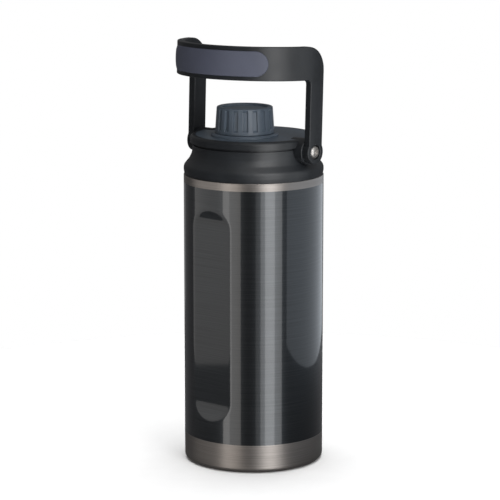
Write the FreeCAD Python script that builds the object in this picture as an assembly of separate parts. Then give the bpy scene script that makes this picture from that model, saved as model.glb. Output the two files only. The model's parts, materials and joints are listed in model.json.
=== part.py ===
import FreeCAD, Part
import math
import os

# Large insulated water jug: double-wall steel vessel, screw-in lid with a screw-capped
# chug spout, and a swing handle that bows forward over the lid.
# Millimetres. +Z is up, the origin is the centre of the base on the surface it stands on,
# -Y is the front (grip recess, spout and handle bow) and the handle pivots lie on +X and -X.

Vector = FreeCAD.Vector
UP = Vector(0, 0, 1)
ALONG_X = Vector(1, 0, 0)
ORIGIN = Vector(0, 0, 0)

# ---------------------------------------------------------------- driving dimensions
# Vessel
body_r = 56.5
shell_wall = 0.8
base_corner_r = 7.0
base_seam_z = 8.0
base_foot_r = 44.0
base_floor_z = 4.0
foot_ramp = 2.5
pump_hole_r = 1.5
shell_top_z = 235.0
shell_step_r = 54.4
shoulder_start_z = 238.0
shoulder_mid_r = 52.2
shoulder_mid_z = 244.2
neck_shoulder_z = 249.0
neck_r = 46.6
lip_z = 257.0
liner_r = 52.0
liner_wall = 0.6
liner_floor_z = 8.5
liner_corner_r = 12.0
liner_shoulder_z = 228.0
liner_mid_r = 49.9
liner_mid_z = 237.5
mouth_r = 44.4
liner_neck_z = 243.0
getter_r = 7.0
getter_t = 2.0

# Grip recess pressed into the front of the shell
recess_depth = 3.0
recess_low_z = 41.0
recess_high_z = 212.0
recess_end_r = 40.0

# Shoulder collar
collar_edge_r = 56.5
collar_edge_h = 2.5
collar_mid_r = 54.1
collar_mid_z = 246.0
collar_root_r = 50.25
collar_root_z = 251.0
collar_neck_r = 49.35
collar_neck_z = 253.4
collar_top_z = 259.0

# Screw threads: trapezoid ridges that share one form, and differ in lead and starts
ridge_root_w = 2.2
ridge_crest_w = 1.2
ridge_embed = 0.25
lid_lead = 12.0
lid_starts = 3
lid_ridge_sweep = 108.0
lid_ridge_h = 1.2
lid_thread_z = 247.0
cap_lead = 8.0
cap_starts = 2
cap_ridge_sweep = 165.0
cap_ridge_h = 1.3
cap_thread_z = 277.0
thread_clearance = 0.25

# Lid
gasket_t = 1.2
gasket_out_r = 48.0
gasket_in_r = 43.8
gasket_gap = 0.3
rim_r = 51.2
rim_bottom_z = 260.8
rim_edge_z = 264.4
rim_land_r = 48.8
rim_mid_r = 50.5
rim_mid_z = 266.15
deck_z = 267.0
deck_t = 3.0
deck_r = 46.8
lid_floor_z = 261.0
lid_step_r = 48.0
plug_r = mouth_r - lid_ridge_h - thread_clearance
plug_wall = 2.5
plug_bottom_z = 240.0
fit_gap = 0.1
plate_t = 2.0
plate_lip_h = 4.0
plate_lip_w = 1.5
seal_w = 1.5
seal_h = 1.8

# Spout and cap
spout_y = -11.5
spout_r = 16.3
spout_bore_r = 13.9
spout_hole_gap = 0.4
spout_top_z = 285.0
spout_flange_r = 27.0
spout_flange_z = 269.4
spout_flange_chamfer = 1.2
spout_lip_r = 0.8
cap_bottom_z = 269.6
cap_top_z = 290.7
cap_base_r = 23.8
cap_top_r = 22.4
cap_corner_r = 2.6
cap_bore_r = 18.9
cap_ribs = 18
cap_groove_depth = 1.3
cap_groove_r = 2.6
cap_skirt_h = 2.6
cap_top_t = 3.0
cap_dish_depth = 0.7
cap_land_w = 1.4
cap_liner_wall = 0.95
cap_liner_lift = 0.6
cap_gasket_t = 0.9

# Handle and its pivots
pivot_z = 257.6
ear_r = 10.4
ear_inner_x = 41.0
ear_face_x = 56.2
ear_edge_r = 0.8
ear_clearance = 0.5
leg_inner_x = 56.9
leg_outer_x = 62.9
leg_w = 15.6
leg_end_r = 9.4
bar_low = 57.2
bar_high = 83.7
leg_top_corner_r = 19.0
leg_inner_fillet = 3.5
handle_lean = 2.0
pad_half_angle = 38.0
pad_h = 20.0
pad_proud = 1.2
pad_sunk = 0.8
sleeve_r = 4.5
sleeve_bore_r = 3.05
running_gap = 0.05
screw_r = 3.0
screw_head_r = 5.3
screw_head_h = 2.9
hex_socket_af = 4.0
hex_socket_depth = 1.9
head_seat_x = 60.4
insert_r = 3.9
insert_depth = 5.8
insert_groove_x = 2.2
insert_groove_w = 0.8
washer_r = 8.5


# ---------------------------------------------------------------- shape helpers
def arc(a, mid, b):
    return Part.Arc(Vector(*a), Vector(*mid), Vector(*b)).toShape()


def line(a, b):
    return Part.makeLine(Vector(*a), Vector(*b))


def revolve(points, centre_y=0.0):
    """Turn an (r, z) outline about a vertical axis. A point with four numbers is an arc's end:
    (r, z, mid_r, mid_z), where the arc passes through the middle point."""
    edges = []
    last = (points[0][0], 0, points[0][1])
    first = last
    for p in points[1:]:
        end = (p[0], 0, p[1])
        if len(p) == 4:
            edges.append(arc(last, (p[2], 0, p[3]), end))
        else:
            edges.append(line(last, end))
        last = end
    edges.append(line(last, first))
    face = Part.Face(Part.Wire(edges))
    solid = face.revolve(ORIGIN, UP, 360)
    solid.translate(Vector(0, centre_y, 0))
    return solid


def disc(r, z_low, z_high, centre_y=0.0):
    return Part.makeCylinder(r, z_high - z_low, Vector(0, centre_y, z_low), UP)


def ring(r_out, r_in, z_low, z_high, centre_y=0.0):
    return disc(r_out, z_low, z_high, centre_y).cut(disc(r_in, z_low - 1, z_high + 1, centre_y))


def rod_x(r, x_low, x_high):
    """Cylinder on the handle's pivot axis."""
    return Part.makeCylinder(r, x_high - x_low, Vector(x_low, 0, pivot_z), ALONG_X)


def tube_x(r_out, r_in, x_low, x_high):
    return rod_x(r_out, x_low, x_high).cut(rod_x(r_in, x_low - 1, x_high + 1))


def fuse_all(shapes):
    return shapes[0].multiFuse(shapes[1:]).removeSplitter()


def rotated(shape, axis, degrees, centre=ORIGIN):
    turned = shape.copy()
    turned.rotate(centre, axis, degrees)
    return turned


def mirrored_x(shape):
    return shape.mirror(ORIGIN, ALONG_X)


def thread_ridges(wall_r, height, lead, starts, sweep, z_first, centre_y=0.0):
    """Helical ridges on a wall. A positive height stands outward, a negative one inward."""
    inward = height < 0
    embed_r = wall_r + (ridge_embed if inward else -ridge_embed)
    crest_r = wall_r + height
    turn_fraction = sweep / 360.0
    helix = Part.makeHelix(lead, lead * turn_fraction, wall_r)
    half_root = ridge_root_w / 2
    half_crest = ridge_crest_w / 2
    corners = [(embed_r, 0, -half_root), (crest_r, 0, -half_crest),
               (crest_r, 0, half_crest), (embed_r, 0, half_root)]
    profile = Part.makePolygon([Vector(*c) for c in corners + corners[:1]])
    ridge = Part.Wire(helix.Edges).makePipeShell([profile], True, True)
    ridge.translate(Vector(0, centre_y, z_first))
    centre = Vector(0, centre_y, 0)
    step = 360.0 / starts
    return [rotated(ridge, UP, i * step, centre) for i in range(starts)]


# ---------------------------------------------------------------- vessel
def recess_cutter(extra):
    """Slot-shaped prism along X whose flat side presses the recess into the front."""
    r = recess_end_r + extra
    run_out = math.sqrt(2 * recess_end_r * recess_depth)
    z_low = recess_low_z + run_out
    z_high = recess_high_z - run_out
    centre_y = -body_r + recess_depth - recess_end_r
    length = 2 * body_r
    ends = [Part.makeCylinder(r, length, Vector(-body_r, centre_y, z), ALONG_X) for z in (z_low, z_high)]
    middle = Part.makeBox(length, 2 * r, z_high - z_low, Vector(-body_r, centre_y - r, z_low))
    return fuse_all([middle] + ends)


def shell_outline(inset):
    """Outside of the steel shell from its seam to its neck, moved inward by inset."""
    r = body_r - inset
    step_r = shell_step_r - inset
    top_z = shell_top_z - inset
    return [(0, base_seam_z), (r, base_seam_z), (r, top_z), (step_r, top_z), (step_r, shoulder_start_z),
            (neck_r - inset, neck_shoulder_z - inset, shoulder_mid_r - inset, shoulder_mid_z - inset),
            (neck_r - inset, lip_z), (0, lip_z)]


def outer_shell():
    outside = revolve(shell_outline(0)).cut(recess_cutter(0))
    inside = revolve(shell_outline(shell_wall)).cut(recess_cutter(shell_wall))
    return outside.cut(inside)


def base_cup_outline(inset):
    """Pressed bottom cup: a rounded corner, a flat foot ring and a raised floor."""
    corner = base_corner_r - inset
    corner_z = base_corner_r
    corner_x = body_r - base_corner_r
    diagonal = corner * math.sqrt(0.5)
    return [(0, base_floor_z + inset), (base_foot_r - foot_ramp, base_floor_z + inset), (base_foot_r, inset),
            (corner_x, inset), (body_r - inset, corner_z, corner_x + diagonal, corner_z - diagonal),
            (body_r - inset, base_seam_z), (0, base_seam_z)]


def outer_base():
    cup = revolve(base_cup_outline(0)).cut(revolve(base_cup_outline(shell_wall)))
    return cup.cut(disc(pump_hole_r, 0, base_seam_z))


def vacuum_seal():
    """Bead under the pump hole, tapered downward."""
    bead_r = 4.0
    bead_tip_r = 2.4
    bead_tip_z = base_floor_z - 1.2
    return revolve([(0, bead_tip_z), (bead_tip_r, bead_tip_z), (bead_r, base_floor_z), (0, base_floor_z)])


def liner_outline(inset):
    """Inner flask from its floor to the mouth, moved inward by inset."""
    r = liner_r - inset
    corner = liner_corner_r - inset
    corner_x = liner_r - liner_corner_r
    corner_z = liner_floor_z + liner_corner_r
    diagonal = corner * math.sqrt(0.5)
    neck = mouth_r + liner_wall - inset
    return [(0, liner_floor_z + inset), (corner_x, liner_floor_z + inset),
            (r, corner_z, corner_x + diagonal, corner_z - diagonal),
            (r, liner_shoulder_z), (neck, liner_neck_z, liner_mid_r - inset, liner_mid_z),
            (neck, lip_z), (0, lip_z)]


def inner_liner():
    flask = revolve(liner_outline(0)).cut(revolve(liner_outline(liner_wall)))
    lip = ring(neck_r - shell_wall, mouth_r + liner_wall / 2, lip_z - shell_wall, lip_z)
    ridges = thread_ridges(mouth_r, -lid_ridge_h, lid_lead, lid_starts, lid_ridge_sweep, lid_thread_z)
    return fuse_all([flask, lip] + ridges)


def vacuum_getter():
    return disc(getter_r, liner_floor_z - getter_t, liner_floor_z)


def collar_outline(grow):
    """Outside of the black shoulder collar; grow moves it outward for clearance."""
    edge = collar_edge_r + grow
    neck = collar_neck_r + grow
    top = collar_top_z + grow
    return [(0, shell_top_z), (edge, shell_top_z), (edge, shell_top_z + collar_edge_h),
            (collar_root_r + grow, collar_root_z + grow, collar_mid_r + grow, collar_mid_z + grow),
            (neck, collar_neck_z + grow), (neck, top), (0, top)]


def shoulder_collar():
    collar = revolve(collar_outline(0)).cut(revolve(shell_outline(0)))
    return collar.cut(disc(gasket_out_r + gasket_gap, lip_z - gasket_t, collar_top_z + 1))


# ---------------------------------------------------------------- lid
def lid_gasket():
    return ring(gasket_out_r, gasket_in_r, lip_z, lip_z + gasket_t)


def lid_ear():
    """Pivot boss at +X. Its top shows above the deck, and it is hollowed below to turn clear of the collar."""
    boss = rod_x(ear_r, ear_inner_x, ear_face_x)
    face_edge = [edge for edge in boss.Edges if edge.BoundBox.XMin > ear_face_x - 0.01]
    boss = boss.makeFillet(ear_edge_r, face_edge)
    return boss.cut(revolve(collar_outline(ear_clearance)))


def lid_body():
    seat_z = lip_z + gasket_t
    rim = revolve([(0, lid_floor_z), (plug_r - plug_wall, lid_floor_z), (plug_r - plug_wall, plug_bottom_z),
                   (plug_r, plug_bottom_z), (plug_r, seat_z), (lid_step_r, seat_z), (lid_step_r, rim_bottom_z),
                   (rim_r, rim_bottom_z), (rim_r, rim_edge_z),
                   (rim_land_r, deck_z, rim_mid_r, rim_mid_z),
                   (deck_r + fit_gap, deck_z), (deck_r + fit_gap, deck_z - deck_t), (0, deck_z - deck_t)])
    ears = [lid_ear(), mirrored_x(lid_ear())]
    first_z = lid_thread_z - lid_lead / lid_starts / 2
    ridges = thread_ridges(plug_r, lid_ridge_h, lid_lead, lid_starts, lid_ridge_sweep, first_z)
    lid = fuse_all([rim] + ears + ridges)
    lid = lid.cut(disc(spout_r + spout_hole_gap, plug_bottom_z, deck_z, spout_y))
    for socket in (insert_pocket(), mirrored_x(insert_pocket())):
        lid = lid.cut(socket)
    return lid


def insert_pocket():
    return rod_x(insert_r, ear_face_x - insert_depth, ear_face_x + 1)


def lid_liner():
    """Moulded plate that closes the bottom of the hollow plug, with a lip round the spout hole."""
    r = plug_r - plug_wall - fit_gap
    low = plug_bottom_z
    plate = disc(r, low, low + plate_t)
    wall = ring(r, r - plate_lip_w, low, low + plate_lip_h)
    lip = disc(spout_r + seal_w + 2 * fit_gap + plate_lip_w, low, low + plate_lip_h, spout_y)
    groove_low = low + (plate_lip_h - seal_h) / 2
    groove = disc(spout_r + seal_w + fit_gap, groove_low - fit_gap, groove_low + seal_h + fit_gap, spout_y)
    hole = disc(spout_r + fit_gap, low - 1, low + plate_lip_h + 1, spout_y)
    return fuse_all([plate, wall, lip]).cut(groove).cut(hole)


def spout_seal():
    low = plug_bottom_z + (plate_lip_h - seal_h) / 2
    return ring(spout_r + seal_w, spout_r + running_gap, low, low + seal_h, spout_y)


def lid_foam():
    low = plug_bottom_z + plate_lip_h + 2 * fit_gap
    foam = disc(plug_r - plug_wall - 2 * fit_gap, low, lid_floor_z - 2 * fit_gap)
    return foam.cut(disc(spout_r + spout_hole_gap, low - 1, lid_floor_z + 1, spout_y))


def deck_plate():
    """Slate deck with a low flange round the hole that the drinking spout stands in."""
    deck = disc(deck_r, deck_z - deck_t, deck_z)
    chamfer = spout_flange_chamfer
    flange = revolve([(0, deck_z - 1), (spout_flange_r, deck_z - 1),
                      (spout_flange_r, spout_flange_z - chamfer),
                      (spout_flange_r - chamfer, spout_flange_z), (0, spout_flange_z)], spout_y)
    plate = fuse_all([deck, flange]).cut(disc(spout_r, deck_z - 2 * deck_t, cap_bottom_z, spout_y))
    ear_notch = rod_x(ear_r + fit_gap, ear_inner_x - fit_gap, ear_face_x)
    return plate.cut(ear_notch).cut(mirrored_x(ear_notch))


def drinking_spout():
    """Threaded tube from the bottom of the plug to the drinking lip."""
    lip = spout_lip_r
    slant = lip * (1 - math.sqrt(0.5))
    tube = revolve([(0, plug_bottom_z), (spout_r, plug_bottom_z), (spout_r, spout_top_z - lip),
                    (spout_r - lip, spout_top_z, spout_r - slant, spout_top_z - slant),
                    (0, spout_top_z)], spout_y)
    ridges = thread_ridges(spout_r, cap_ridge_h, cap_lead, cap_starts, cap_ridge_sweep, cap_thread_z, spout_y)
    return fuse_all([tube] + ridges).cut(disc(spout_bore_r, plug_bottom_z - 1, spout_top_z + 1, spout_y))


# ---------------------------------------------------------------- spout cap
def cap_groove(angle):
    """One flute between two ribs, following the cap's taper."""
    z_low = cap_bottom_z + cap_skirt_h
    z_high = cap_top_z + 1
    draft = (cap_base_r - cap_top_r) / (cap_top_z - cap_bottom_z)
    offset = cap_groove_r - cap_groove_depth
    low = Vector(cap_base_r - draft * cap_skirt_h + offset, 0, z_low)
    high = Vector(cap_base_r - draft * (z_high - cap_bottom_z) + offset, 0, z_high)
    run = high.sub(low)
    groove = Part.makeCylinder(cap_groove_r, run.Length, low, run)
    groove = groove.fuse(Part.makeSphere(cap_groove_r, low))
    groove.rotate(ORIGIN, UP, angle)
    groove.translate(Vector(0, spout_y, 0))
    return groove


def spout_cap():
    corner = cap_corner_r
    diagonal = corner * (1 - math.sqrt(0.5))
    dish_r = cap_top_r - corner - cap_land_w
    dish_z = cap_top_z - cap_dish_depth
    body = revolve([(0, cap_bottom_z), (cap_base_r, cap_bottom_z), (cap_top_r, cap_top_z - corner),
                    (cap_top_r - corner, cap_top_z, cap_top_r - diagonal, cap_top_z - diagonal),
                    (dish_r, cap_top_z), (dish_r - cap_dish_depth, dish_z), (0, dish_z)], spout_y)
    body = body.cut(disc(cap_bore_r, cap_bottom_z - 1, cap_top_z - cap_top_t, spout_y))
    step = 360.0 / cap_ribs
    grooves = [cap_groove(i * step) for i in range(cap_ribs)]
    return body.cut(Part.makeCompound(grooves))


def cap_liner():
    """Threaded inner cup that is welded inside the ribbed cap."""
    r = cap_bore_r - running_gap
    bore = r - cap_liner_wall
    top = cap_top_z - cap_top_t
    low = cap_bottom_z + cap_liner_lift
    cup = disc(r, low, top, spout_y).cut(disc(bore, low - 1, spout_top_z + cap_gasket_t, spout_y))
    depth = bore - spout_r - thread_clearance
    first_z = cap_thread_z - cap_lead / cap_starts / 2
    ridges = thread_ridges(bore, -depth, cap_lead, cap_starts, cap_ridge_sweep, first_z, spout_y)
    return fuse_all([cup] + ridges)


def cap_gasket():
    return ring(spout_r, spout_bore_r - 1.5, spout_top_z, spout_top_z + cap_gasket_t, spout_y)


# ---------------------------------------------------------------- handle and pivots
def handle_plan():
    """Plan shape of the handle, standing from below the pivots to the top of the bar: two straight
    legs joined round the front by a half ring."""
    low = pivot_z - leg_end_r
    high = pivot_z + bar_high
    tall = high - low
    hoop = ring(leg_outer_x, leg_inner_x, low, high)
    hoop = hoop.common(Part.makeBox(3 * body_r, 2 * body_r, tall, Vector(-1.5 * body_r, -2 * body_r, low)))
    leg = Part.makeBox(leg_outer_x - leg_inner_x, leg_end_r, tall, Vector(leg_inner_x, 0, low))
    return fuse_all([hoop, leg, mirrored_x(leg)])


def handle_side():
    """Side view of the handle as a prism along X: bar, legs with a rounded top and pivot eyes."""
    half = leg_w / 2
    top = pivot_z + bar_high
    under = pivot_z + bar_low
    corner = leg_top_corner_r
    fillet = leg_inner_fillet
    front = -2 * body_r
    slant = math.sqrt(0.5)
    inner_y = -half - fillet
    inner_z = under - fillet
    edges = [line((0, front, under), (0, front, top)),
             line((0, front, top), (0, half - corner, top)),
             arc((0, half - corner, top), (0, half - corner + corner * slant, top - corner + corner * slant),
                 (0, half, top - corner)),
             line((0, half, top - corner), (0, half, pivot_z)),
             line((0, half, pivot_z), (0, -half, pivot_z)),
             line((0, -half, pivot_z), (0, -half, inner_z)),
             arc((0, -half, inner_z), (0, inner_y + fillet * slant, inner_z + fillet * slant),
                 (0, inner_y, under)),
             line((0, inner_y, under), (0, front, under))]
    face = Part.Face(Part.Wire(edges))
    face.translate(Vector(-1.5 * body_r, 0, 0))
    side = face.extrude(Vector(3 * body_r, 0, 0))
    eye = rod_x(leg_end_r, -1.5 * body_r, 1.5 * body_r)
    return fuse_all([side, eye])


def pad_solid(r_in, r_out, gap):
    """Band round the front of the bar with half-round ends."""
    mid_z = pivot_z + (bar_low + bar_high) / 2
    half_h = pad_h / 2 - gap
    band = ring(r_out, r_in, mid_z - half_h, mid_z + half_h)
    reach = 2 * body_r
    a = math.radians(pad_half_angle)
    tip = Vector(reach * math.sin(a), -reach * math.cos(a), 0)
    far = Vector(0, -2 * reach, 0)
    tip_left = Vector(-tip.x, tip.y, 0)
    wedge = Part.Face(Part.makePolygon([ORIGIN, tip, far, tip_left, ORIGIN]))
    wedge.translate(Vector(0, 0, mid_z - half_h))
    middle = band.common(wedge.extrude(Vector(0, 0, 2 * half_h)))
    end = Part.makeCylinder(half_h, reach, Vector(0, 0, mid_z), Vector(0, -1, 0))
    ends = [band.common(rotated(end, UP, side * pad_half_angle)) for side in (-1, 1)]
    return fuse_all([middle] + ends)


def leaned(shape):
    """The handle stands a little behind upright: a turn about the pivot axis."""
    return rotated(shape, ALONG_X, -handle_lean, Vector(0, 0, pivot_z))


def handle():
    shape = handle_plan().common(handle_side())
    shape = shape.cut(pad_solid(leg_outer_x - pad_sunk, leg_outer_x + 2, 0))
    spot_face = rod_x(ear_r, leg_inner_x - 5, leg_inner_x)
    bore = rod_x(sleeve_r + running_gap, leg_inner_x - 1, leg_outer_x + 1)
    counterbore = rod_x(screw_head_r + 0.3, head_seat_x - 2 * running_gap, leg_outer_x + 1)
    for cutter in (spot_face, bore, counterbore):
        shape = shape.cut(cutter).cut(mirrored_x(cutter))
    return leaned(shape)


def grip_pad():
    return leaned(pad_solid(leg_outer_x - pad_sunk, leg_outer_x + pad_proud, fit_gap))


def pivot_screw():
    """Button-head screw at +X with a hexagon socket."""
    end_x = ear_face_x - insert_depth + 0.4
    shank = rod_x(screw_r - running_gap, end_x, head_seat_x)
    crown = screw_head_h * 0.55
    top_x = head_seat_x + screw_head_h
    top_r = screw_head_r * 0.42
    outline = Part.Wire([line((head_seat_x, 0, 0), (head_seat_x, screw_head_r, 0)),
                         arc((head_seat_x, screw_head_r, 0), (head_seat_x + crown, screw_head_r * 0.86, 0),
                             (top_x, top_r, 0)),
                         line((top_x, top_r, 0), (top_x, 0, 0)),
                         line((top_x, 0, 0), (head_seat_x, 0, 0))])
    head = Part.Face(outline).revolve(ORIGIN, ALONG_X, 360)
    head.translate(Vector(0, 0, pivot_z))
    corner_r = hex_socket_af / math.sqrt(3)
    socket_x = top_x - hex_socket_depth
    corners = [Vector(socket_x, corner_r * math.cos(math.radians(60 * i)),
                      pivot_z + corner_r * math.sin(math.radians(60 * i))) for i in range(7)]
    socket = Part.Face(Part.makePolygon(corners)).extrude(Vector(screw_head_h, 0, 0))
    return fuse_all([shank, head]).cut(socket)


def pivot_sleeve():
    return tube_x(sleeve_r, sleeve_bore_r, ear_face_x, head_seat_x)


def friction_washer():
    return tube_x(washer_r, sleeve_r + running_gap, ear_face_x, leg_inner_x - running_gap)


def threaded_insert():
    """Brass insert in the ear, with one groove round it and a bore for the screw."""
    r = insert_r - 0.02
    low = ear_face_x - insert_depth
    groove_low = low + insert_groove_x
    groove = tube_x(insert_r + 1, insert_r - 0.5, groove_low, groove_low + insert_groove_w)
    return tube_x(r, screw_r, low, ear_face_x).cut(groove)


# ---------------------------------------------------------------- write every node
pieces = {
    "outer_shell": outer_shell,
    "outer_base": outer_base,
    "vacuum_seal": vacuum_seal,
    "inner_liner": inner_liner,
    "vacuum_getter": vacuum_getter,
    "shoulder_collar": shoulder_collar,
    "lid_gasket": lid_gasket,
    "lid_body": lid_body,
    "lid_liner": lid_liner,
    "lid_foam": lid_foam,
    "deck_plate": deck_plate,
    "drinking_spout": drinking_spout,
    "spout_seal": spout_seal,
    "spout_cap": spout_cap,
    "cap_liner": cap_liner,
    "cap_gasket": cap_gasket,
    "handle": handle,
    "grip_pad": grip_pad,
}
paired_pieces = {
    "pivot_screw": pivot_screw,
    "pivot_sleeve": pivot_sleeve,
    "friction_washer": friction_washer,
    "threaded_insert": threaded_insert,
}


def export(node, shape):
    shape.exportStep(os.path.join("parts", node + ".step"))
    state = "valid" if shape.isValid() else "INVALID"
    print(node, state, len(shape.Solids), "solid(s)", round(shape.Volume), "mm3")


os.makedirs("parts", exist_ok=True)
for node, make in pieces.items():
    export(node, make())
for node, make in paired_pieces.items():
    right = make()
    export("right_" + node, right)
    export("left_" + node, mirrored_x(right))
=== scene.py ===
import json
import math

import bmesh
import bpy
from mathutils import Matrix, Vector


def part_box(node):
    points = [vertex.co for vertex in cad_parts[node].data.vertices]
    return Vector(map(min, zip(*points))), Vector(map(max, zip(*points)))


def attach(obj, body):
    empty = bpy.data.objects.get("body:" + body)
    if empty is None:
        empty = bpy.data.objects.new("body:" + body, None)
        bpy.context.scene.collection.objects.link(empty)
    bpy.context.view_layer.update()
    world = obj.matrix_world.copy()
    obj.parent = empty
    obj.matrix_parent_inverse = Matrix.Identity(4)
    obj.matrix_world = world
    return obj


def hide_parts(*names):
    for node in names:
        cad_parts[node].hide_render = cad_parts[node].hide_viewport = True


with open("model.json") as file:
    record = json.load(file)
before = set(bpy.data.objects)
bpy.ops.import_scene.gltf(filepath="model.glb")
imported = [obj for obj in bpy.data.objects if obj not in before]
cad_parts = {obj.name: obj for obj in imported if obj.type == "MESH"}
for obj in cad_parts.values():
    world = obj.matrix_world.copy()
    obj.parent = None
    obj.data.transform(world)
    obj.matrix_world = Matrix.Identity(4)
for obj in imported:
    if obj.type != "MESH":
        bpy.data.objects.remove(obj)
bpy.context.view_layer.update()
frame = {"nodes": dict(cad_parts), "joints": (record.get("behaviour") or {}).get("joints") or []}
nodes = frame["nodes"]
MM = 0.001


def joint_named(name):
    return next(j for j in frame["joints"] if j["name"] == name)


# ---------------------------------------------------------------- places read from the frame
shell_low, shell_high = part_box("outer_shell")
base_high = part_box("outer_base")[1]
collar_low, collar_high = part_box("shoulder_collar")
cap_low, cap_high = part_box("spout_cap")
BODY_R = shell_high.x
SPOUT_Y = (cap_low.y + cap_high.y) / 2
PIVOT = Vector(joint_named("handle_swing")["pos_m"])


# ---------------------------------------------------------------- mesh helpers
def shade(mesh):
    """Smooth shading, with the edges over 35 degrees left sharp."""
    for polygon in mesh.polygons:
        polygon.use_smooth = True
    mesh.set_sharp_from_angle(angle=math.radians(35))


def new_piece(name, bm, body, replaced):
    """Makes an object from a bmesh, smooth with weighted normals, that stands for a CAD node."""
    bmesh.ops.recalc_face_normals(bm, faces=bm.faces)
    mesh = bpy.data.meshes.new(name)
    bm.to_mesh(mesh)
    bm.free()
    shade(mesh)
    piece = bpy.data.objects.new(name, mesh)
    bpy.context.scene.collection.objects.link(piece)
    weighted = piece.modifiers.new("weighted normals", "WEIGHTED_NORMAL")
    weighted.keep_sharp = True
    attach(piece, body)
    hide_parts(replaced)
    return piece


def rounded_outline(corners, steps=6, closed=True):
    """Points of a polygon whose corners are rounded. Each corner is (x, y, radius)."""
    points = []
    count = len(corners)
    for i, (x, y, radius) in enumerate(corners):
        here = Vector((x, y))
        at_end = not closed and i in (0, count - 1)
        if radius <= 0 or at_end:
            points.append(here)
            continue
        before = Vector(corners[i - 1][:2]) - here
        after = Vector(corners[(i + 1) % count][:2]) - here
        half = before.angle(after) / 2
        reach = min(radius / math.tan(half), before.length * 0.49, after.length * 0.49)
        start = here + before.normalized() * reach
        end = here + after.normalized() * reach
        radius = reach * math.tan(half)
        centre = here + (before.normalized() + after.normalized()).normalized() * (radius / math.sin(half))
        first = start - centre
        sweep = first.angle_signed(end - centre)
        for k in range(steps + 1):
            turned = Matrix.Rotation(-sweep * k / steps, 2) @ first
            points.append(centre + turned)
    return points


def lathe(points, segments=192, centre_y=0.0):
    """Solid of revolution of a closed (r, z) outline. Points on the axis become single vertices."""
    bm = bmesh.new()
    rings = []
    for r, z in points:
        if r < 1e-7:
            rings.append([bm.verts.new((0, centre_y, z))] * segments)
            continue
        ring = []
        for k in range(segments):
            a = 2 * math.pi * k / segments
            ring.append(bm.verts.new((r * math.cos(a), centre_y + r * math.sin(a), z)))
        rings.append(ring)
    for i in range(len(rings)):
        lower, upper = rings[i], rings[(i + 1) % len(rings)]
        for k in range(segments):
            n = (k + 1) % segments
            corners = []
            for v in (lower[k], lower[n], upper[n], upper[k]):
                if v not in corners:
                    corners.append(v)
            if len(corners) > 2:
                bm.faces.new(corners)
    return bm


def spaced(low, high, step):
    """Evenly spaced values between two ends, both ends left out."""
    count = max(1, int(round(abs(high - low) / step)))
    return [low + (high - low) * i / count for i in range(1, count)]


def smooth_step(start, end, value):
    """0 at start, 1 at end, with an easy curve between. End may lie below start."""
    t = min(max((value - start) / (end - start), 0), 1)
    return t * t * (3 - 2 * t)


# ---------------------------------------------------------------- outer shell with its grip recess
SHELL_WALL = 0.8 * MM
RECESS_DEPTH = 3.0 * MM
RECESS_LOW = 41.0 * MM
RECESS_HIGH = 212.0 * MM
RECESS_END_R = 40.0 * MM
RECESS_SOFTNESS = 0.55 * MM
BAND_TOP = collar_low.z


def recess_floor(z, inset):
    """How far the recess's flat floor lies from the axis at this height."""
    run_out = math.sqrt(2 * RECESS_END_R * RECESS_DEPTH)
    centre = BODY_R - RECESS_DEPTH + RECESS_END_R
    radius = RECESS_END_R + inset
    beyond = max(RECESS_LOW + run_out - z, z - (RECESS_HIGH - run_out), 0)
    if beyond >= radius:
        return centre
    return centre - math.sqrt(radius * radius - beyond * beyond)


def soft_min(a, b, blend):
    """The smaller of two values, with the corner between them rounded over a width of blend."""
    h = max(blend - abs(a - b), 0) / blend
    return min(a, b) - h * h * blend / 4


def press_recess(bm, inset):
    """Flattens the front of the wall into a recess that runs out at both ends. The inner face follows it."""
    for v in bm.verts:
        r = math.hypot(v.co.x, v.co.y)
        if r < BODY_R * 0.95 or v.co.y > -BODY_R * 0.5:
            continue
        facing = -v.co.y / r
        is_inside = r < BODY_R - inset / 2
        flat = recess_floor(v.co.z, inset if is_inside else 0) / facing
        scale = soft_min(r, flat, RECESS_SOFTNESS) / r
        v.co.x *= scale
        v.co.y *= scale


def make_shell():
    low, high = shell_low.z, shell_high.z
    neck_r = 46.6 * MM
    shoulder_r = 54.4 * MM
    shoulder_z = 249 * MM
    outer = [(BODY_R, z) for z in [low] + spaced(low, BAND_TOP - 1 * MM, 1.5 * MM)]
    edge = rounded_outline([(BODY_R, BAND_TOP - 1 * MM, 0), (BODY_R, BAND_TOP, 0.5 * MM),
                            (shoulder_r, BAND_TOP, 0.3 * MM), (shoulder_r, BAND_TOP + 6 * MM, 8 * MM),
                            (neck_r, shoulder_z, 3 * MM), (neck_r, high, 0)], closed=False)
    inner_shoulder = [(neck_r - SHELL_WALL, high), (neck_r - SHELL_WALL, shoulder_z - SHELL_WALL),
                      (shoulder_r - SHELL_WALL, BAND_TOP + 5 * MM), (shoulder_r - SHELL_WALL, BAND_TOP - 1 * MM),
                      (BODY_R - SHELL_WALL, BAND_TOP - 1 * MM)]
    inner = [(BODY_R - SHELL_WALL, z) for z in spaced(BAND_TOP - 1 * MM, low, 1.5 * MM) + [low]]
    outline = outer + [tuple(p) for p in edge] + inner_shoulder + inner
    bm = lathe(outline, segments=360)
    press_recess(bm, SHELL_WALL)
    return new_piece("lacquered_shell", bm, "vessel", "outer_shell")


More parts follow.
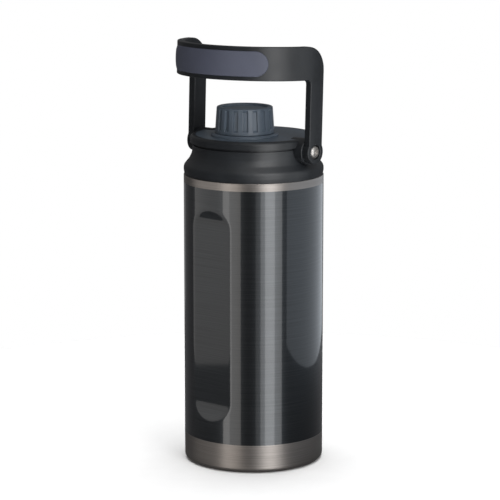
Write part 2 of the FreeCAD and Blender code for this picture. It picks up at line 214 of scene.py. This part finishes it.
# ---------------------------------------------------------------- bare steel base cup
def make_base():
    r, top = base_high.x, base_high.z
    wall = SHELL_WALL
    foot, floor_z = 44.0 * MM, 4.0 * MM
    corner = 7.5 * MM
    outline = rounded_outline([
        (1.5 * MM, floor_z, 0.2 * MM), (foot - 2.5 * MM, floor_z, 1.2 * MM), (foot, 0, 1.6 * MM),
        (r, 0, corner), (r, top, 0), (r - wall, top, 0), (r - wall, wall, corner - wall),
        (foot + 0.3 * MM, wall, 0.8 * MM), (foot - 2.2 * MM, floor_z + wall, 1.2 * MM),
        (1.5 * MM, floor_z + wall, 0.2 * MM)], steps=10)
    bm = lathe(outline, segments=256)
    return new_piece("base_cup", bm, "vessel", "outer_base")


# ---------------------------------------------------------------- shoulder collar
def make_collar():
    """S-curve from the neck into a shoulder that bulges a little past the steel and rolls under."""
    low, top = collar_low.z, collar_high.z
    edge_r = BODY_R - 0.8 * MM
    bulge_r = BODY_R - 0.05 * MM
    neck = 49.35 * MM
    bore = 46.7 * MM
    skin_r = 54.5 * MM
    seat_r = 48.3 * MM
    seat_z = 255.9 * MM
    bore_low = 249.2 * MM
    skin_top = 241 * MM
    outline = rounded_outline([
        (edge_r, low, 0.3 * MM), (bulge_r, low + 3.4 * MM, 8 * MM), (bulge_r, low + 7.2 * MM, 8 * MM),
        (52.0 * MM, low + 12.6 * MM, 9 * MM), (49.9 * MM, low + 17.0 * MM, 9 * MM),
        (neck, low + 21.0 * MM, 6 * MM), (neck, top, 0.3 * MM), (seat_r, top, 0.1 * MM),
        (seat_r, seat_z, 0.1 * MM), (bore, seat_z, 0.1 * MM), (bore, bore_low, 3 * MM),
        (skin_r, skin_top, 6 * MM), (skin_r, low, 0.1 * MM)], steps=10)
    bm = lathe(outline, segments=256)
    return new_piece("collar_ring", bm, "vessel", "shoulder_collar")


# ---------------------------------------------------------------- ribbed spout cap
CAP_RIBS = 18


def make_cap():
    """Tapered cap with a plain skirt, flutes between its ribs and a ring round the dished top."""
    base_r, low, top = cap_high.x, cap_low.z, cap_high.z
    top_r = 22.4 * MM
    bore = 18.9 * MM
    skirt = 2.7 * MM
    wall = 3 * MM
    ring_w = 3.4 * MM
    dish = 1.9 * MM
    draft = (base_r - top_r) / (top - low)
    side = [(base_r - draft * (z - low), z) for z in spaced(low + 0.5 * MM, top - 1.8 * MM, 0.5 * MM)]
    rim = rounded_outline([(*side[-1], 0), (top_r, top, 1.4 * MM), (top_r - ring_w, top, 0.4 * MM),
                           (top_r - ring_w - 0.8 * MM, top - dish, 0.5 * MM), (0, top - dish, 0)],
                          steps=10, closed=False)
    inside = [(0, top - wall), (bore, top - wall), (bore, low)]
    outline = [(base_r - 0.4 * MM, low), (base_r - 0.05 * MM, low + 0.25 * MM)] + side
    outline += [tuple(p) for p in rim[1:]] + inside
    bm = lathe(outline, segments=CAP_RIBS * 24, centre_y=SPOUT_Y)
    groove = 1.5 * MM
    for v in bm.verts:
        x, y = v.co.x, v.co.y - SPOUT_Y
        r = math.hypot(x, y)
        if r < bore + 0.6 * MM:
            continue
        phase = (math.atan2(y, x) * CAP_RIBS / (2 * math.pi)) % 1.0
        across = abs(phase - 0.5) * 2
        flute = smooth_step(0.52, 0.40, across)
        start = smooth_step(low + skirt - 0.6 * MM, low + skirt + 1.4 * MM, v.co.z)
        stop = smooth_step(top - 1.5 * MM, top - 3.0 * MM, v.co.z)
        scale = (r - groove * flute * start * stop) / r
        v.co.x = x * scale
        v.co.y = SPOUT_Y + y * scale
    return new_piece("ribbed_cap", bm, "cap", "spout_cap")


# ---------------------------------------------------------------- handle and its soft pad
LEG_INNER = 56.9 * MM
LEG_OUTER = 62.9 * MM
LEG_W = 15.6 * MM
EYE_R = 9.4 * MM
BAR_LOW = 57.2 * MM
BAR_HIGH = 83.7 * MM
TOP_CORNER = 19.0 * MM
LEAN = math.radians(-2.0)
SCREW_HOLE_R = 5.6 * MM
MID_R = (LEG_INNER + LEG_OUTER) / 2
HALF_ARC = MID_R * math.pi / 2


def bend_round(s, z, offset):
    """Places a point of the unrolled handle: s runs along the band from the middle of the bar."""
    r = MID_R + offset
    if abs(s) <= HALF_ARC:
        a = s / MID_R
        return Vector((r * math.sin(a), -r * math.cos(a), z))
    side = math.copysign(1, s)
    return Vector((side * r, abs(s) - HALF_ARC, z))


def arc_points(cx, cz, radius, start, end, steps):
    angles = [math.radians(start + (end - start) * k / steps) for k in range(steps + 1)]
    return [(cx + radius * math.cos(a), cz + radius * math.sin(a)) for a in angles]


def handle_outline():
    """Half of the unrolled outline, from the middle of the bar's top to the middle of its underside."""
    half = LEG_W / 2
    rear = HALF_ARC + half
    front = HALF_ARC - half
    fillet = 3.5 * MM
    points = [(0, BAR_HIGH)]
    points += arc_points(rear - TOP_CORNER, BAR_HIGH - TOP_CORNER, TOP_CORNER, 90, 0, 12)
    reach = math.degrees(math.acos(half / EYE_R))
    points += arc_points(HALF_ARC, 0, EYE_R, reach, -reach - 180, 36)
    points += arc_points(front - fillet, BAR_LOW - fillet, fillet, 0, 90, 8)
    points += [(0, BAR_LOW)]
    return points


def add_loop(curve, outline):
    spline = curve.splines.new("POLY")
    spline.points.add(len(outline) - 1)
    for point, (s, z) in zip(spline.points, outline):
        point.co = (s, z, 0, 1)
    spline.use_cyclic_u = True


def slice_across(bm, cuts, axis):
    """Cuts the whole mesh by planes, so that it can bend or be crowned between them."""
    for cut in cuts:
        bmesh.ops.bisect_plane(bm, geom=bm.verts[:] + bm.edges[:] + bm.faces[:],
                               plane_co=axis * cut, plane_no=axis)


def handle_band(name, outline, holes, thickness, offset, edge_radius, crown=None):
    """Extrudes an unrolled outline with rounded edges, slices it finely and bends it round the lid."""
    curve = bpy.data.curves.new(name, "CURVE")
    curve.dimensions = "2D"
    curve.fill_mode = "BOTH"
    for loop in [outline] + holes:
        add_loop(curve, loop)
    curve.bevel_depth = edge_radius
    curve.bevel_resolution = 3
    curve.offset = -edge_radius
    curve.extrude = thickness / 2 - edge_radius
    flat = bpy.data.objects.new(name + "_flat", curve)
    bpy.context.scene.collection.objects.link(flat)
    bpy.context.view_layer.update()
    mesh = bpy.data.meshes.new_from_object(flat.evaluated_get(bpy.context.evaluated_depsgraph_get()))
    bpy.data.objects.remove(flat)
    bpy.data.curves.remove(curve)
    bm = bmesh.new()
    bm.from_mesh(mesh)
    bpy.data.meshes.remove(mesh)
    bmesh.ops.remove_doubles(bm, verts=bm.verts, dist=1e-6)
    bmesh.ops.dissolve_limit(bm, angle_limit=0.0005, verts=bm.verts, edges=bm.edges)
    if crown:
        crown(bm)
    along = [s for s, _ in outline]
    slice_across(bm, spaced(min(along), max(along), 1.6 * MM), Vector((1, 0, 0)))
    lean = Matrix.Rotation(LEAN, 4, "X")
    for v in bm.verts:
        v.co = PIVOT + lean @ bend_round(v.co.x, v.co.y, offset + v.co.z)
    return bm


def make_handle():
    half = handle_outline()
    outline = half + [(-s, z) for s, z in reversed(half[1:-1])]
    holes = [arc_points(side * HALF_ARC, 0, SCREW_HOLE_R, 0, 352.5, 47) for side in (-1, 1)]
    bm = handle_band("carry_handle", outline, holes, LEG_OUTER - LEG_INNER, 0, 0.8 * MM)
    return new_piece("carry_handle", bm, "grip_handle", "handle")


def make_pad():
    """Soft pad let into the bar, with half-round ends and a face that is slightly domed from top to bottom."""
    pad_out = 1.2 * MM
    sunk = 0.8 * MM
    half_h = 9.95 * MM
    dome = 0.45 * MM
    mid_z = (BAR_LOW + BAR_HIGH) / 2
    reach = math.radians(38.0) * MID_R
    right = arc_points(reach, mid_z, half_h, 90, -90, 24)
    left = arc_points(-reach, mid_z, half_h, 270, 90, 24)
    offset = LEG_OUTER + (pad_out - sunk) / 2 - MID_R

    def crown(bm):
        slice_across(bm, spaced(mid_z - half_h, mid_z + half_h, 1.5 * MM), Vector((0, 1, 0)))
        for v in bm.verts:
            if v.co.z > 0:
                v.co.z -= dome * ((v.co.y - mid_z) / half_h) ** 2

    bm = handle_band("soft_grip", right + left, [], pad_out + sunk, offset, 0.7 * MM, crown)
    return new_piece("soft_grip", bm, "grip_handle", "grip_pad")


# ---------------------------------------------------------------- materials
def material(name):
    mat = bpy.data.materials.new(name)
    mat.use_nodes = True
    return mat, mat.node_tree.nodes, mat.node_tree.links, mat.node_tree.nodes["Principled BSDF"]


def noise(tree_nodes, links, vector, scale, detail=3.0, roughness=0.5):
    node = tree_nodes.new("ShaderNodeTexNoise")
    node.inputs["Scale"].default_value = scale
    node.inputs["Detail"].default_value = detail
    node.inputs["Roughness"].default_value = roughness
    links.new(vector, node.inputs["Vector"])
    return node


def ramp(tree_nodes, links, factor, stops):
    """Maps a factor to colours. Each stop is (position, colour)."""
    node = tree_nodes.new("ShaderNodeValToRGB")
    elements = node.color_ramp.elements
    while len(elements) < len(stops):
        elements.new(0.5)
    for element, (position, colour) in zip(elements, stops):
        element.position = position
        element.color = (*colour, 1)
    links.new(factor, node.inputs["Fac"])
    return node


def remap(tree_nodes, links, value, low, high, to_low, to_high):
    node = tree_nodes.new("ShaderNodeMapRange")
    node.inputs["From Min"].default_value = low
    node.inputs["From Max"].default_value = high
    node.inputs["To Min"].default_value = to_low
    node.inputs["To Max"].default_value = to_high
    links.new(value, node.inputs["Value"])
    return node


def bump(tree_nodes, links, height, strength, distance, normal=None):
    node = tree_nodes.new("ShaderNodeBump")
    node.inputs["Strength"].default_value = strength
    node.inputs["Distance"].default_value = distance
    links.new(height, node.inputs["Height"])
    if normal is not None:
        links.new(normal, node.inputs["Normal"])
    return node


def run_round_axis(tree_nodes, links):
    """Sockets of the height, and of the distance round the body at its full radius, in metres."""
    coords = tree_nodes.new("ShaderNodeTexCoord")
    split = tree_nodes.new("ShaderNodeSeparateXYZ")
    links.new(coords.outputs["Object"], split.inputs[0])
    angle = tree_nodes.new("ShaderNodeMath")
    angle.operation = "ARCTAN2"
    links.new(split.outputs["Y"], angle.inputs[0])
    links.new(split.outputs["X"], angle.inputs[1])
    distance = tree_nodes.new("ShaderNodeMath")
    distance.operation = "MULTIPLY"
    distance.inputs[1].default_value = BODY_R
    links.new(angle.outputs[0], distance.inputs[0])
    return split.outputs["Z"], distance.outputs[0]


def brush_marks(tree_nodes, links):
    """Fine grooves that run round the body: noise stretched along the circumference."""
    height, distance = run_round_axis(tree_nodes, links)
    join = tree_nodes.new("ShaderNodeCombineXYZ")
    links.new(distance, join.inputs["X"])
    links.new(height, join.inputs["Y"])
    marks = []
    for scale, detail, roughness in (((14, 1400, 1), 4.0, 0.65), ((10, 600, 1), 2.0, 0.5)):
        stretch = tree_nodes.new("ShaderNodeMapping")
        stretch.inputs["Scale"].default_value = scale
        links.new(join.outputs[0], stretch.inputs["Vector"])
        marks.append(noise(tree_nodes, links, stretch.outputs[0], 1.0, detail, roughness))
    fine, broad = marks
    return height, fine, broad


def radial_tangent(tree_nodes, links, bsdf):
    tangent = tree_nodes.new("ShaderNodeTangent")
    tangent.direction_type = "RADIAL"
    tangent.axis = "Z"
    links.new(tangent.outputs[0], bsdf.inputs["Tangent"])


def mix_colour(tree_nodes, links, factor, a, b):
    node = tree_nodes.new("ShaderNodeMix")
    node.data_type = "RGBA"
    links.new(factor, node.inputs["Factor"])
    for value, socket in ((a, node.inputs[6]), (b, node.inputs[7])):
        if isinstance(value, tuple):
            socket.default_value = (*value, 1)
        else:
            links.new(value, socket)
    return node


BARE_STEEL = (0.27, 0.25, 0.235)
LACQUER_TINT = (0.036, 0.040, 0.044)
LACQUER_LOW = 22.9 * MM
LACQUER_HIGH = 228.8 * MM
MASK_EDGE = 0.12 * MM


def brushed_steel(name):
    mat, tn, links, bsdf = material(name)
    colour = BARE_STEEL
    roughness = 0.42
    _, fine, broad = brush_marks(tn, links)
    tone = ramp(tn, links, fine.outputs["Fac"], [(0.3, tuple(c * 0.82 for c in colour)),
                                                 (0.7, tuple(min(1, c * 1.12) for c in colour))])
    links.new(tone.outputs["Color"], bsdf.inputs["Base Color"])
    rough = remap(tn, links, broad.outputs["Fac"], 0.3, 0.7, roughness - 0.02, roughness + 0.02)
    links.new(rough.outputs[0], bsdf.inputs["Roughness"])
    bsdf.inputs["Metallic"].default_value = 1.0
    bsdf.inputs["Anisotropic"].default_value = 0.5
    bsdf.inputs["Anisotropic Rotation"].default_value = 0.25
    radial_tangent(tn, links, bsdf)
    scratch = bump(tn, links, fine.outputs["Fac"], 0.06, 0.01 * MM)
    links.new(scratch.outputs[0], bsdf.inputs["Normal"])
    return mat


def lacquered_steel():
    """Brushed steel under a dark clear lacquer, masked off at the two bare bands."""
    mat, tn, links, bsdf = material("lacquered_steel")
    height, fine, broad = brush_marks(tn, links)
    low_edge = remap(tn, links, height, LACQUER_LOW - MASK_EDGE, LACQUER_LOW + MASK_EDGE, 0, 1)
    high_edge = remap(tn, links, height, LACQUER_HIGH - MASK_EDGE, LACQUER_HIGH + MASK_EDGE, 1, 0)
    mask = tn.new("ShaderNodeMath")
    mask.operation = "MULTIPLY"
    links.new(low_edge.outputs[0], mask.inputs[0])
    links.new(high_edge.outputs[0], mask.inputs[1])
    bare = ramp(tn, links, fine.outputs["Fac"], [(0.3, tuple(c * 0.82 for c in BARE_STEEL)),
                                                 (0.7, tuple(min(1, c * 1.12) for c in BARE_STEEL))])
    tinted = ramp(tn, links, fine.outputs["Fac"], [(0.3, tuple(c * 0.78 for c in LACQUER_TINT)),
                                                   (0.7, tuple(c * 1.25 for c in LACQUER_TINT))])
    colour = mix_colour(tn, links, mask.outputs[0], bare.outputs["Color"], tinted.outputs["Color"])
    links.new(colour.outputs[2], bsdf.inputs["Base Color"])
    bsdf.inputs["Metallic"].default_value = 1.0
    rough = remap(tn, links, broad.outputs["Fac"], 0.3, 0.7, 0.34, 0.38)
    bands = remap(tn, links, mask.outputs[0], 0, 1, 0.08, 0)
    rougher = tn.new("ShaderNodeMath")
    rougher.operation = "ADD"
    links.new(rough.outputs[0], rougher.inputs[0])
    links.new(bands.outputs[0], rougher.inputs[1])
    links.new(rougher.outputs[0], bsdf.inputs["Roughness"])
    bsdf.inputs["Anisotropic"].default_value = 0.65
    bsdf.inputs["Anisotropic Rotation"].default_value = 0.25
    radial_tangent(tn, links, bsdf)
    links.new(mask.outputs[0], bsdf.inputs["Coat Weight"])
    bsdf.inputs["Coat Roughness"].default_value = 0.06
    bsdf.inputs["Coat IOR"].default_value = 1.5
    scratch = bump(tn, links, fine.outputs["Fac"], 0.06, 0.01 * MM)
    links.new(scratch.outputs[0], bsdf.inputs["Normal"])
    return mat


def moulded_plastic(name, colour, roughness, grain=0.35, variation=0.12, specular=0.5):
    """Plastic from a spark-eroded mould: a fine stipple, with slight changes in tone and gloss."""
    mat, tn, links, bsdf = material(name)
    coords = tn.new("ShaderNodeTexCoord")
    stipple = noise(tn, links, coords.outputs["Object"], 2600, 2.0, 0.6)
    patch = noise(tn, links, coords.outputs["Object"], 60, 3.0, 0.55)
    tone = ramp(tn, links, patch.outputs["Fac"], [(0.3, tuple(c * (1 - variation) for c in colour)),
                                                  (0.7, tuple(c * (1 + variation) for c in colour))])
    links.new(tone.outputs["Color"], bsdf.inputs["Base Color"])
    rough = remap(tn, links, patch.outputs["Fac"], 0.3, 0.7, roughness - 0.04, roughness + 0.05)
    links.new(rough.outputs[0], bsdf.inputs["Roughness"])
    bsdf.inputs["Specular IOR Level"].default_value = specular
    grain_node = bump(tn, links, stipple.outputs["Fac"], grain, 0.04 * MM)
    links.new(grain_node.outputs[0], bsdf.inputs["Normal"])
    return mat


def turned_metal(name, colour, roughness):
    """Machined metal with a fine uneven grain."""
    mat, tn, links, bsdf = material(name)
    coords = tn.new("ShaderNodeTexCoord")
    grain_node = noise(tn, links, coords.outputs["Object"], 1500, 3.0, 0.6)
    tone = ramp(tn, links, grain_node.outputs["Fac"], [(0.3, tuple(c * 0.85 for c in colour)),
                                                       (0.7, tuple(min(1, c * 1.1) for c in colour))])
    links.new(tone.outputs["Color"], bsdf.inputs["Base Color"])
    rough = remap(tn, links, grain_node.outputs["Fac"], 0.3, 0.7, roughness - 0.05, roughness + 0.08)
    links.new(rough.outputs[0], bsdf.inputs["Roughness"])
    bsdf.inputs["Metallic"].default_value = 1.0
    return mat


def foam_material():
    mat, tn, links, bsdf = material("white_foam")
    coords = tn.new("ShaderNodeTexCoord")
    cells = tn.new("ShaderNodeTexVoronoi")
    cells.inputs["Scale"].default_value = 700
    links.new(coords.outputs["Object"], cells.inputs["Vector"])
    tone = ramp(tn, links, cells.outputs["Distance"], [(0.0, (0.85, 0.84, 0.78)), (0.8, (0.6, 0.58, 0.5))])
    links.new(tone.outputs["Color"], bsdf.inputs["Base Color"])
    bsdf.inputs["Roughness"].default_value = 0.9
    pits = bump(tn, links, cells.outputs["Distance"], 0.6, 0.3 * MM)
    links.new(pits.outputs[0], bsdf.inputs["Normal"])
    return mat


def use(mat, *objects):
    for obj in objects:
        obj.data.materials.clear()
        obj.data.materials.append(mat)


def ease_edges(node, width):
    """Small rounds on the sharp edges of a kept CAD node."""
    round_over = node.modifiers.new("edge round", "BEVEL")
    round_over.width = width
    round_over.segments = 2
    round_over.limit_method = "ANGLE"
    round_over.angle_limit = math.radians(35)
    round_over.harden_normals = True


# ---------------------------------------------------------------- assemble
shell = make_shell()
base = make_base()
collar = make_collar()
cap = make_cap()
handle = make_handle()
pad = make_pad()

ease_edges(nodes["lid_body"], 0.3 * MM)
ease_edges(nodes["deck_plate"], 0.25 * MM)

steel = brushed_steel("bare_steel")
black = moulded_plastic("black_plastic", (0.0150, 0.0172, 0.0200), 0.40)
slate = moulded_plastic("slate_plastic", (0.080, 0.104, 0.134), 0.40)
rubber = moulded_plastic("grip_rubber", (0.074, 0.082, 0.118), 0.55, grain=0.25, variation=0.06)
silicone = moulded_plastic("silicone", (0.03, 0.032, 0.035), 0.5, grain=0.1)
nylon = moulded_plastic("washer_plastic", (0.05, 0.05, 0.055), 0.4, grain=0.1)
screw_steel = turned_metal("stainless", (0.62, 0.60, 0.58), 0.5)
brass = turned_metal("brass", (0.70, 0.50, 0.2), 0.3)
solder = turned_metal("solder", (0.45, 0.45, 0.45), 0.45)

use(lacquered_steel(), shell)
use(steel, base, nodes["inner_liner"])
use(black, collar, handle, nodes["lid_body"], nodes["lid_liner"])
use(slate, cap, nodes["deck_plate"], nodes["drinking_spout"], nodes["cap_liner"])
use(rubber, pad)
use(silicone, nodes["lid_gasket"], nodes["cap_gasket"], nodes["spout_seal"])
use(foam_material(), nodes["lid_foam"])
use(solder, nodes["vacuum_seal"], nodes["vacuum_getter"])
for side in ("left", "right"):
    use(screw_steel, nodes[side + "_pivot_screw"], nodes[side + "_pivot_sleeve"])
    use(nylon, nodes[side + "_friction_washer"])
    use(brass, nodes[side + "_threaded_insert"])


# ---------------------------------------------------------------- stage, lights and camera
CAMERA_AZIMUTH = math.radians(38.5)
CAMERA_DISTANCE = 1.8506
CAMERA_HEIGHT = 0.5252
CAMERA_TILT = 0.1887
CAMERA_LENS = 167.0
CAMERA_YAW = 0.0016
FLOOR_R = 0.45


def around(azimuth, distance, height):
    """A point at an azimuth from the front (-Y), turning towards +X, in metres from the jug's axis."""
    return Vector((distance * math.sin(azimuth), -distance * math.cos(azimuth), height))


def make_camera():
    data = bpy.data.cameras.new("camera")
    data.lens = CAMERA_LENS
    data.sensor_width = 36.0
    data.clip_end = 50
    camera = bpy.data.objects.new("camera", data)
    bpy.context.scene.collection.objects.link(camera)
    camera.location = around(CAMERA_AZIMUTH, CAMERA_DISTANCE, CAMERA_HEIGHT)
    camera.rotation_euler = (math.pi / 2 - CAMERA_TILT, 0, CAMERA_AZIMUTH + CAMERA_YAW)
    bpy.context.scene.camera = camera


def softbox(name, bearing, distance, height, width, tall, brightness, aim_height=None, colour=(1, 1, 1)):
    """Area light of a given brightness at a bearing from the camera's azimuth, facing the jug's axis."""
    data = bpy.data.lights.new(name, "AREA")
    data.shape = "RECTANGLE"
    data.size = width
    data.size_y = tall
    data.energy = brightness * math.pi * width * tall
    data.color = colour
    light = bpy.data.objects.new(name, data)
    bpy.context.scene.collection.objects.link(light)
    place = around(CAMERA_AZIMUTH + math.radians(bearing), distance, height)
    target = Vector((0, 0, height if aim_height is None else aim_height))
    light.location = place
    light.rotation_euler = (target - place).to_track_quat("-Z", "Y").to_euler()
    return light


def light_only(light, *lit):
    """Keeps a light for the objects given, as a flag on a stand would."""
    group = bpy.data.collections.new(light.name + "_receivers")
    for obj in lit:
        group.objects.link(obj)
    light.light_linking.receiver_collection = group


def make_floor():
    bm = bmesh.new()
    bmesh.ops.create_circle(bm, cap_ends=True, segments=128, radius=FLOOR_R)
    mesh = bpy.data.meshes.new("floor")
    bm.to_mesh(mesh)
    bm.free()
    floor = bpy.data.objects.new("floor", mesh)
    bpy.context.scene.collection.objects.link(floor)
    floor.location.z = -0.0002
    mat, tn, links, bsdf = material("floor_paper")
    coords = tn.new("ShaderNodeTexCoord")
    fibre = noise(tn, links, coords.outputs["Object"], 40, 4.0, 0.6)
    tone = ramp(tn, links, fibre.outputs["Fac"], [(0.3, (0.87, 0.87, 0.87)), (0.7, (0.89, 0.89, 0.89))])
    links.new(tone.outputs["Color"], bsdf.inputs["Base Color"])
    bsdf.inputs["Roughness"].default_value = 0.9
    bsdf.inputs["Specular IOR Level"].default_value = 0.1
    use(mat, floor)
    floor.visible_glossy = False
    floor.visible_shadow = False
    return floor


def make_world():
    """White to the camera; for reflections and fill light, a dim room that is lighter above."""
    world = bpy.data.worlds.new("studio")
    bpy.context.scene.world = world
    world.use_nodes = True
    tn, links = world.node_tree.nodes, world.node_tree.links
    background = tn["Background"]
    coords = tn.new("ShaderNodeTexCoord")
    split = tn.new("ShaderNodeSeparateXYZ")
    links.new(coords.outputs["Generated"], split.inputs[0])
    room = ramp(tn, links, split.outputs["Z"], [(0.0, (0.09, 0.09, 0.094)), (0.9, (0.22, 0.22, 0.22))])
    lower = remap(tn, links, split.outputs["Z"], -0.25, 1.0, 0, 1)
    links.new(lower.outputs[0], room.inputs["Fac"])
    path = tn.new("ShaderNodeLightPath")
    seen = mix_colour(tn, links, path.outputs["Is Camera Ray"], room.outputs["Color"], (1.0, 1.0, 1.0))
    links.new(seen.outputs[2], background.inputs["Color"])
    background.inputs["Strength"].default_value = 1.0


make_camera()
floor = make_floor()
make_world()
# Softboxes: bearing, distance, height, width, tall, brightness, and the height they aim at if it differs.
softbox("key", 26, 0.9, 0.35, 0.25, 1.5, 2.1)
softbox("key_wide", 28.5, 0.95, 0.35, 0.60, 1.5, 1.45)
softbox("key_soft", 25, 1.0, 0.35, 0.80, 1.5, 0.45)
softbox("top", 10, 0.5, 1.30, 0.8, 0.8, 0.9, 0.2)
fill_left = softbox("fill_left", -30, 1.1, 0.35, 0.36, 1.6, 1.4, colour=(1.0, 0.95, 0.9))
light_only(fill_left, shell, base, pad, cap, nodes["deck_plate"])
# The side cards show as the sharp-edged reflections in the lacquer, and light nothing else.
steel_lights = [
    softbox("fill_left_edge", -45, 1.1, 0.35, 0.22, 1.6, 2.3, colour=(1.0, 0.96, 0.92)),
    softbox("card_left", -79, 0.45, 0.437, 0.5, 0.9, 0.65, colour=(1.0, 0.97, 0.94)),
    softbox("card_right", 100, 0.22, 0.488, 0.50, 0.9, 0.75, colour=(0.85, 0.92, 1.0)),
    softbox("backdrop", 180, 1.4, 0.6, 1.6, 1.6, 0.10),
]
for light in steel_lights:
    light_only(light, shell, base)
plastic_right = softbox("plastic_right", 72, 0.9, 0.30, 0.45, 1.4, 0.9, colour=(0.94, 0.97, 1.0))
light_only(plastic_right, collar, handle, cap, nodes["lid_body"], nodes["deck_plate"])
shoulder_glow = softbox("shoulder_glow", 24, 0.70, 0.80, 0.45, 0.30, 4.0, 0.25)
light_only(shoulder_glow, collar)
floor_light = softbox("floor_light", 180, 0.25, 1.35, 1.5, 1.5, 3.6, 0.0)
light_only(floor_light, floor)
bpy.context.scene.view_settings.view_transform = "Standard"
bpy.context.scene.view_settings.look = "None"
